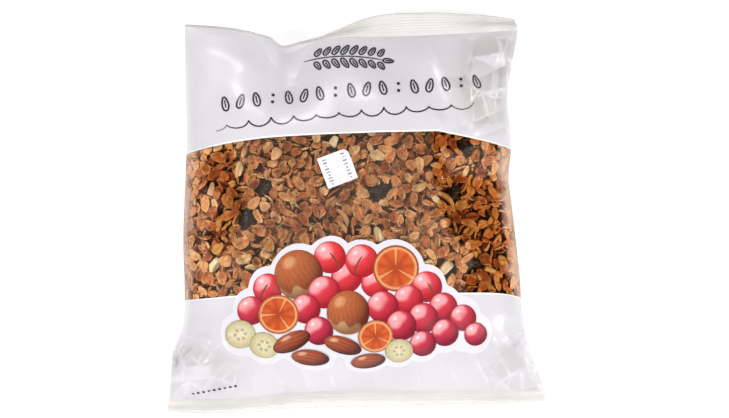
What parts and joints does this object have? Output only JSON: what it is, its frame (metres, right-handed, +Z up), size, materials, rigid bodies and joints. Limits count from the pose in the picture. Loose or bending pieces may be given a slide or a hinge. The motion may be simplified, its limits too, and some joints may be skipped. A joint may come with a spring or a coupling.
{
  "type": "bag of granola",
  "caption": "Sealed pillow bag of granola lying on its back, with printed head and foot panels, a clear window band and a small paper label.",
  "frame": {"origin": "on the surface that the bag lies on, under the middle of its outline", "axes": "+X to the right of the bag's front, +Y towards its head seal, +Z up out of its front face"},
  "size_m": [0.2204, 0.234, 0.0452],
  "materials": {
    "film_printed": "thin glossy film printed pale lilac grey, with creases",
    "film_clear": "thin clear glossy film over the window band and in the crimped seals",
    "granola": "toasted oat flakes with a thin honey glaze",
    "raisins": "dark wrinkled skin, half matt",
    "nut_chips": "pale chopped nut, matt",
    "print_ink": "coloured print under glossy film",
    "label_paper": "white adhesive paper with faint grey marks"
  },
  "bodies": {
    "root": {"bag": "film_printed", "price_label": "label_paper"}
  },
  "joints": []
}
